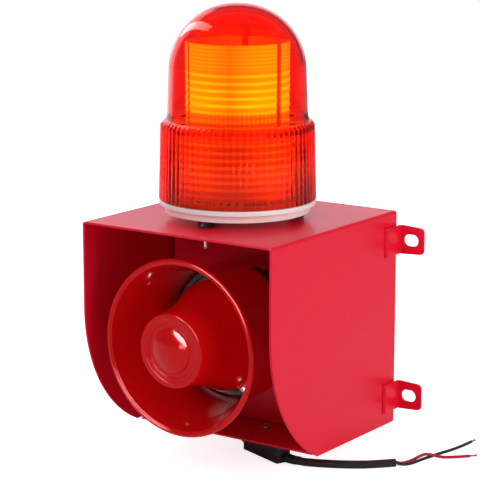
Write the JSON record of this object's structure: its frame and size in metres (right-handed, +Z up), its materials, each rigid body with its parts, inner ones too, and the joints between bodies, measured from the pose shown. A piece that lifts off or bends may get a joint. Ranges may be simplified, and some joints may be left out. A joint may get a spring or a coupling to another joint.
{
  "type": "alarm siren",
  "caption": "Wall alarm siren: open-fronted red steel hood with a reflex horn, rotating beacon on the roof, wall ears, and a cable from a module under its floor.",
  "frame": {"origin": "middle of the pattern of the four ear slots, in the wall plane", "axes": "+Z up along the beacon's axis; +Y into the wall; the horn faces -Y; +X is on the right of someone facing the horn"},
  "size_m": [0.2261, 0.1984, 0.304],
  "materials": {
    "red_paint": "satin powder coat",
    "red_plastic": "glossy moulded",
    "black_plastic": "fine matt",
    "black_rubber": "matt",
    "black_pvc": "satin",
    "red_pvc": "satin",
    "bare_copper": "bright tinned copper",
    "red_lens": "clear moulded, fluted",
    "amber_lens": "clear moulded, ribbed",
    "cream_plastic": "satin moulded",
    "white_plastic": "matt moulded",
    "zinc_steel": "bright zinc plated",
    "ferrite": "matt",
    "circuit_board": "solder mask"
  },
  "bodies": {
    "siren_body": {"base_foot_1": "black_rubber", "base_foot_2": "black_rubber", "base_foot_3": "black_rubber", "base_screw_1": "zinc_steel", "base_screw_2": "zinc_steel", "base_screw_3": "zinc_steel", "beacon_base": "cream_plastic", "beacon_chassis": "white_plastic", "beacon_lens": "red_lens", "black_wire": "black_pvc", "black_wire_end": "bare_copper", "board_capacitor": "black_plastic", "board_standoff_left": "zinc_steel", "board_standoff_right": "zinc_steel", "board_transformer": "ferrite", "cable_sheath": "black_pvc", "cover_screw_1": "zinc_steel", "cover_screw_2": "zinc_steel", "cover_screw_3": "zinc_steel", "cover_screw_4": "zinc_steel", "drive_motor": "zinc_steel", "driver_front_plate": "zinc_steel", "driver_housing": "black_plastic", "driver_magnet": "ferrite", "driver_stud_nut": "zinc_steel", "driver_yoke": "zinc_steel", "floor_grommet": "black_rubber", "floor_plate": "red_paint", "hood_shell": "red_paint", "horn_bell": "red_plastic", "horn_reflector": "red_plastic", "horn_spider": "black_plastic", "horn_throat": "black_plastic", "lamp_post": "zinc_steel", "module_case": "black_plastic", "module_lead": "black_rubber", "module_lid": "black_plastic", "module_nut": "white_plastic", "module_screw": "zinc_steel", "partition_plate": "red_paint", "rear_cover": "red_paint", "red_wire": "red_pvc", "red_wire_end": "bare_copper", "reflector_screw_1": "zinc_steel", "reflector_screw_2": "zinc_steel", "reflector_screw_3": "zinc_steel", "rotor_axle": "zinc_steel", "siren_board": "circuit_board", "strain_relief": "black_rubber", "wall_ear_lower_left": "red_paint", "wall_ear_lower_right": "red_paint", "wall_ear_upper_left": "red_paint", "wall_ear_upper_right": "red_paint"},
    "beacon_rotor": {"rotor": "white_plastic", "lens_panel_1": "amber_lens", "lens_panel_2": "amber_lens", "lens_panel_3": "amber_lens"},
    "motor_pinion": {"drive_pinion": "white_plastic"},
    "speaker_cone": {"diaphragm": "white_plastic", "voice_coil": "bare_copper"}
  },
  "joints": [
    {"name": "rotor_spin", "type": "hinge", "parent": "siren_body", "child": "beacon_rotor", "pos_m": [0, -0.0834, 0.1185], "axis": [0, 0, 1], "continuous": true},
    {"name": "pinion_spin", "type": "hinge", "parent": "siren_body", "child": "motor_pinion", "pos_m": [0.025, -0.0834, 0.1155], "axis": [0, 0, 1], "continuous": true},
    {"name": "cone_travel", "type": "slide", "parent": "siren_body", "child": "speaker_cone", "axis": [0, -1, 0], "range_m": [-0.0004, 0.0004], "stiffness_N_per_m": 2000}
  ],
  "couplings": [
    {"joint": "pinion_spin", "follows": "rotor_spin", "ratio": -4}
  ]
}
